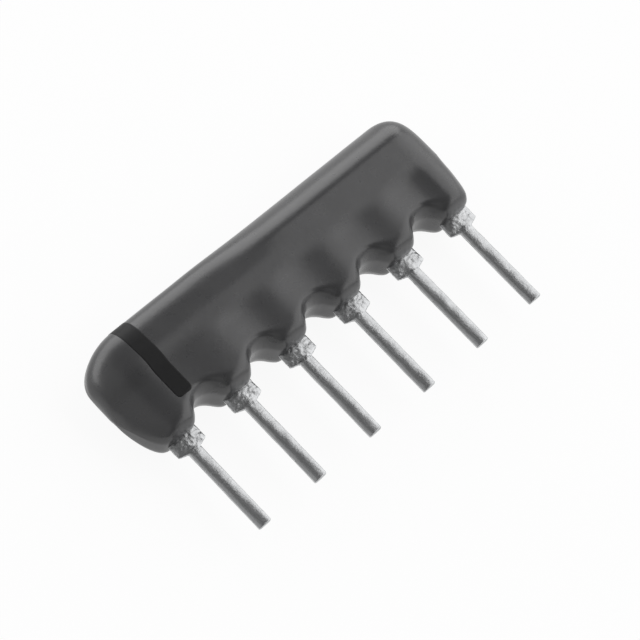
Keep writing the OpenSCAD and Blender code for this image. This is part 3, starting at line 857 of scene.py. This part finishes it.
class NETWORK_OT_leads(bpy.types.Operator):
    """Adds the tinned leads, each with its pin, its shoulder and the fork inside the coating"""

    bl_idname = "network.leads"
    bl_label = "Leads"

    ACROSS_CELLS = 40
    FINGER_CELLS = 20
    ROW_STEP = 0.025 * MM
    EDGE_STEP = 0.01 * MM
    EDGE_ROUND = 0.28 * MM
    SHOULDER_ROUND = 0.5 * MM
    EDGE_POWER = 2.2
    EDGE_WALL = 0.05 * MM
    ROLL_ANGLE = math.radians(6)
    ROLL_SOFT = 0.3 * MM
    ROLL_WALL = 0.01 * MM
    LEDGE_STEP = 0.008 * MM
    BEND_CELLS = 6
    BEND_ANGLE = math.radians(60)
    FINGER_POWER = 6.0
    FINGER_SINK = 0.05 * MM
    LUMP_SIZE = 0.4 * MM
    GRAIN_SIZE = 0.1 * MM
    GRAIN_FADE = 0.3 * MM

    def half_width(self, lead, height):
        """Half the width of the strip at a height above the seat."""
        part = smooth((height + lead.root_r) / (lead.root_r + lead.shoulder_r))
        return mix(lead.pin_w / 2, lead.shoulder_w / 2, part)

    def heights(self, low, high, step):
        """Even heights from low to high, about a step apart."""
        count = round((high - low) / step)
        return [mix(low, high, k / count) for k in range(count + 1)]

    def die_roll(self, across):
        """Fall of the shoulder's front face, which the die drew down on the side of the first lead."""
        past = max(self.ROLL_SOFT / 2 - across, 0.0)
        run = past * past / (2 * self.ROLL_SOFT) if past < self.ROLL_SOFT else past - self.ROLL_SOFT / 2
        return math.tan(self.ROLL_ANGLE) * run

    def strip(self, lead):
        """Rings of the pin and the shoulder round the middle of the seat. The tin has drawn their faces
        into a dome that falls away towards the edges."""
        past = self.SHOULDER_ROUND
        edge = [
            (self.half_width(lead, h), h)
            for h in self.heights(-lead.pin_len - past, lead.fork_h + past, self.EDGE_STEP)
        ]
        rows = (
            self.heights(-lead.pin_len, -lead.root_r, self.ROW_STEP)
            + self.heights(-lead.root_r, lead.shoulder_r, self.LEDGE_STEP)[1:]
            + self.heights(lead.shoulder_r, lead.fork_h, self.ROW_STEP)[1:]
        )
        rings = []
        for h in rows:
            half = self.half_width(lead, h)
            widened = (half - lead.pin_w / 2) / (lead.shoulder_w / 2 - lead.pin_w / 2)
            reach = mix(self.EDGE_ROUND, self.SHOULDER_ROUND, widened)
            near = [(w, at) for w, at in edge if abs(at - h) < reach]
            front = []
            for k in range(self.ACROSS_CELLS + 1):
                across = half * math.cos(math.pi * k / self.ACROSS_CELLS)
                inward = min(math.hypot(w - abs(across), at - h) for w, at in near) / reach
                dome = (1 - (1 - clamp(inward)) ** self.EDGE_POWER) ** (1 / self.EDGE_POWER)
                front.append(Vector((across, h, mix(self.EDGE_WALL, lead.lead_t / 2, dome))))
            back = [Vector((p.x, p.y, -p.z)) for p in reversed(front)]
            for p in front:
                p.z = max(p.z - widened * self.die_roll(p.x), self.ROLL_WALL)
            rings.append(front + [Vector((-half, h, 0.0))] + back + [Vector((half, h, 0.0))])
        narrowed = 1 - 2 * lead.tip_chamfer / lead.pin_w
        tip = [Vector((p.x * narrowed, p.y, p.z * narrowed)) for p in rings[0]]
        return [tip] + rings[1:]

    def blade(self, lead, rings, x, seat_y):
        """The pin and the shoulder of one lead, with their lumps and their twist."""
        middle = Vector((x, seat_y, MID_Z))
        bm = bmesh.new()
        loft(bm, [[middle + p for p in ring] for ring in rings])
        for v in bm.verts:
            height = v.co.y - seat_y
            if height < lead.fork_h - self.ROW_STEP / 2:
                near_shoulder = smooth((height + self.GRAIN_FADE) / self.GRAIN_FADE)
                lump = lead.lump * noise.noise(v.co / self.LUMP_SIZE)
                grain = lead.grain * noise.noise(v.co / self.GRAIN_SIZE) * near_shoulder
                v.co += v.normal * (lump + grain)
            turn = Matrix.Rotation(lead.twist * clamp(-height / lead.pin_len), 3, "Y")
            v.co = middle + turn.inverted() @ (v.co - middle)
            v.co.y = max(v.co.y, TIP_Y)
        return mesh_object("blade", bm)

    def oval(self, half_w, half_t):
        """A finger's section, a rectangle with softened corners, as (across, through)."""
        points = []
        for k in range(self.FINGER_CELLS):
            a = 2 * math.pi * k / self.FINGER_CELLS
            c, s = math.cos(a), math.sin(a)
            points.append((
                half_w * math.copysign(abs(c) ** (2 / self.FINGER_POWER), c),
                half_t * math.copysign(abs(s) ** (2 / self.FINGER_POWER), s),
            ))
        return points

    def finger(self, lead, x, width, step, seat_y):
        """One finger, from inside the shoulder over its two bends to its tip on the plate."""
        r, angle = lead.bend_r, self.BEND_ANGLE
        size = abs(step)
        slope = (size - 2 * r * (1 - math.cos(angle))) / math.sin(angle)
        run = 2 * r * math.sin(angle) + slope * math.cos(angle)
        root = seat_y + lead.fork_h
        angles = [angle * k / self.BEND_CELLS for k in range(self.BEND_CELLS + 1)]
        line = [(-self.FINGER_SINK, 0.0, 0.0)]
        line += [(r * math.sin(a), r * (1 - math.cos(a)), a) for a in angles]
        line += [(run - r * math.sin(a), size - r * (1 - math.cos(a)), a) for a in reversed(angles)]
        line += [(FINGER_TOP_Y - root, size, 0.0)]
        rings = []
        for up, out, a in line:
            oval = self.oval(width / 2, lead.lead_t / 2)
            rings.append([
                Vector((
                    x + across,
                    root + up - through * math.sin(a),
                    MID_Z + math.copysign(out + through * math.cos(a), step),
                ))
                for across, through in oval
            ])
        bm = bmesh.new()
        loft(bm, rings)
        return mesh_object("finger", bm)

    def execute(self, context):
        settings = context.scene.network
        lead = settings.lead
        seat_y = TIP_Y + lead.pin_len
        tin = hot_tin(lead.shade)
        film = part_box("pad_2")[1].z - PLATE_HIGH.z
        front_step = PLATE_HIGH.z - MID_Z + film + lead.lead_t / 2
        back_step = PLATE_LOW.z - MID_Z - lead.lead_t / 2
        fork_w = lead.shoulder_w - 2 * lead.fork_inset
        outer_w = (fork_w - lead.front_finger_w) / 2 - lead.finger_gap
        outer_x = (fork_w - outer_w) / 2
        rings = self.strip(lead)
        for i, x in enumerate(LEAD_XS):
            blade = self.blade(lead, rings, x, seat_y)
            fingers = [
                self.finger(lead, x, lead.front_finger_w, front_step, seat_y),
                self.finger(lead, x - outer_x, outer_w, back_step, seat_y),
                self.finger(lead, x + outer_x, outer_w, back_step, seat_y),
            ]
            for finger in fingers:
                join = blade.modifiers.new("join", "BOOLEAN")
                join.operation, join.object, join.solver = "UNION", finger, "EXACT"
            mesh = bpy.data.meshes.new_from_object(
                blade.evaluated_get(context.evaluated_depsgraph_get())
            )
            if not mesh.polygons:
                raise RuntimeError(f"the join of lead {i + 1} left no faces")
            for used in (blade, *fingers):
                bpy.data.objects.remove(used)
            mesh.name = f"tinned_lead_{i + 1}"
            piece = bpy.data.objects.new(mesh.name, mesh)
            context.scene.collection.objects.link(piece)
            dress(piece, tin, "tinned_lead", f"lead_{i + 1}")
        return {"FINISHED"}


class NETWORK_OT_plate(bpy.types.Operator):
    """Finishes the alumina plate"""

    bl_idname = "network.plate"
    bl_label = "Plate"

    def execute(self, context):
        finish_nodes(fired_alumina(context.scene.network.inner.plate), "substrate")
        return {"FINISHED"}


class NETWORK_OT_conductors(bpy.types.Operator):
    """Finishes the printed bus and pads"""

    bl_idname = "network.conductors"
    bl_label = "Bus and pads"

    def execute(self, context):
        finish_nodes(printed_silver(context.scene.network.inner.conductor), "bus_conductor", "pad_")
        return {"FINISHED"}


class NETWORK_OT_resistors(bpy.types.Operator):
    """Finishes the printed resistors"""

    bl_idname = "network.resistors"
    bl_label = "Resistors"

    def execute(self, context):
        finish_nodes(printed_oxide(context.scene.network.inner.resistor), "resistor_")
        return {"FINISHED"}


class NETWORK_OT_overglaze(bpy.types.Operator):
    """Finishes the glass over the resistors"""

    bl_idname = "network.overglaze"
    bl_label = "Overglaze"

    def execute(self, context):
        finish_nodes(fired_glass(context.scene.network.inner.glass), "overglaze")
        return {"FINISHED"}


class NETWORK_OT_solder(bpy.types.Operator):
    """Finishes the solder joints"""

    bl_idname = "network.solder"
    bl_label = "Solder joints"

    def execute(self, context):
        finish_nodes(flowed_solder(context.scene.network.inner.solder), "solder_")
        return {"FINISHED"}


class NETWORK_OT_stage(bpy.types.Operator):
    """Adds the white table, the soft light and the camera"""

    bl_idname = "network.stage"
    bl_label = "Table, light and camera"

    # The camera, found from the lead tips, the shoulders and the body's outline in the picture. Its lens
    # and its sensor are in millimetres
    RIGHT = Vector((0.70855, -0.68327, 0.17641))
    UP = Vector((0.57394, 0.70344, 0.41925))
    BACK = Vector((-0.41056, -0.19581, 0.89057))
    DISTANCE = 130 * MM
    ASIDE = -0.393 * MM
    ABOVE = 0.555 * MM
    LENS = 220.6
    SENSOR = 36.0
    CLIP_SPAN = 100
    TABLE_CELLS = 8
    TABLE_HALF = 2.0
    # The panels of light: the direction of each, around from +X and above the table, and where its left,
    # right, lower and upper sides are seen from the part, all in degrees
    PANELS = {
        "side": (0, 40, (-22, 19, -38, 29)),
        "front": (0, 40, (-74, -22, -38, 29)),
        "back": (75, 20, (-50, 70, -19, 19)),
        "fill": (175, 40, (-60, 60, -35, 33)),
    }
    PANEL_DISTANCE = 0.3

    def panel(self, scene, name, around, above, sides, level):
        """An area light of the given radiance, square to the line from the part in its direction."""
        around, above = math.radians(around), math.radians(above)
        line = Vector((
            math.cos(around) * math.cos(above), math.sin(around) * math.cos(above), math.sin(above),
        ))
        turn = line.to_track_quat("Z", "Y")
        left, right, low, high = (self.PANEL_DISTANCE * math.tan(math.radians(a)) for a in sides)
        lamp = bpy.data.lights.new(name, "AREA")
        lamp.shape = "RECTANGLE"
        lamp.size, lamp.size_y = right - left, high - low
        lamp.energy = level * math.pi * lamp.size * lamp.size_y
        made = bpy.data.objects.new(name, lamp)
        made.location = turn @ Vector(((left + right) / 2, (low + high) / 2, self.PANEL_DISTANCE))
        made.rotation_euler = turn.to_euler()
        made.visible_camera = False
        scene.collection.objects.link(made)

    def room(self, scene, level):
        """A dim room round the panels."""
        world = bpy.data.worlds.new("room")
        world.use_nodes = True
        background = world.node_tree.nodes["Background"]
        background.inputs["Color"].default_value = linear("#ffffff")
        background.inputs["Strength"].default_value = level
        scene.world = world

    def table(self, stage):
        """A wide table under the part."""
        bm = bmesh.new()
        bmesh.ops.create_grid(
            bm, x_segments=self.TABLE_CELLS, y_segments=self.TABLE_CELLS, size=self.TABLE_HALF
        )
        floor = mesh_object("table", bm)
        floor.data.materials.append(white_paper(stage.table, stage.glow))

    def camera(self, scene, seat):
        """The camera, placed from the middle of the row at the seat."""
        lens = bpy.data.cameras.new("camera")
        lens.lens, lens.sensor_width = self.LENS, self.SENSOR
        lens.clip_start = self.DISTANCE / self.CLIP_SPAN
        lens.clip_end = self.DISTANCE * self.CLIP_SPAN
        made = bpy.data.objects.new("camera", lens)
        turn = Matrix((self.RIGHT, self.UP, self.BACK)).transposed().to_4x4()
        eye = seat + self.RIGHT * self.ASIDE + self.UP * self.ABOVE + self.BACK * self.DISTANCE
        made.matrix_world = Matrix.Translation(eye) @ turn
        scene.collection.objects.link(made)
        scene.camera = made

    def execute(self, context):
        scene = context.scene
        stage = scene.network.stage
        scene.view_settings.view_transform = "Standard"
        self.table(stage)
        self.room(scene, stage.room_level)
        for name, place in self.PANELS.items():
            self.panel(scene, f"{name}_panel", *place, getattr(stage, f"{name}_level"))
        row_middle = (LEAD_XS[0] + LEAD_XS[-1]) / 2
        self.camera(scene, Vector((row_middle, TIP_Y + scene.network.lead.pin_len, MID_Z)))
        return {"FINISHED"}


class NETWORK_PT_panel(bpy.types.Panel):
    """Lists the settings and the operators in the sidebar"""

    bl_label = "Resistor network"
    bl_space_type = "VIEW_3D"
    bl_region_type = "UI"
    bl_category = "Network"

    def draw(self, context):
        settings = context.scene.network
        for group in (settings.coating, settings.bar, settings.lead, settings.inner, settings.stage):
            box = self.layout.box()
            for name in group.__annotations__:
                box.prop(group, name)
        for operator in OPERATORS:
            self.layout.operator(operator.bl_idname)


OPERATORS = (
    NETWORK_OT_coating, NETWORK_OT_bar, NETWORK_OT_leads, NETWORK_OT_plate, NETWORK_OT_conductors,
    NETWORK_OT_resistors, NETWORK_OT_overglaze, NETWORK_OT_solder, NETWORK_OT_stage,
)
CLASSES = (
    CoatingSettings, BarSettings, LeadSettings, InnerSettings, StageSettings, NetworkSettings,
    *OPERATORS, NETWORK_PT_panel,
)


def register():
    for made in CLASSES:
        bpy.utils.register_class(made)
    bpy.types.Scene.network = PointerProperty(type=NetworkSettings)


def unregister():
    del bpy.types.Scene.network
    for made in reversed(CLASSES):
        bpy.utils.unregister_class(made)


def main():
    register()
    bpy.ops.network.coating()
    bpy.ops.network.bar()
    bpy.ops.network.leads()
    bpy.ops.network.plate()
    bpy.ops.network.conductors()
    bpy.ops.network.resistors()
    bpy.ops.network.overglaze()
    bpy.ops.network.solder()
    bpy.ops.network.stage()


if __name__ == "__main__":
    main()
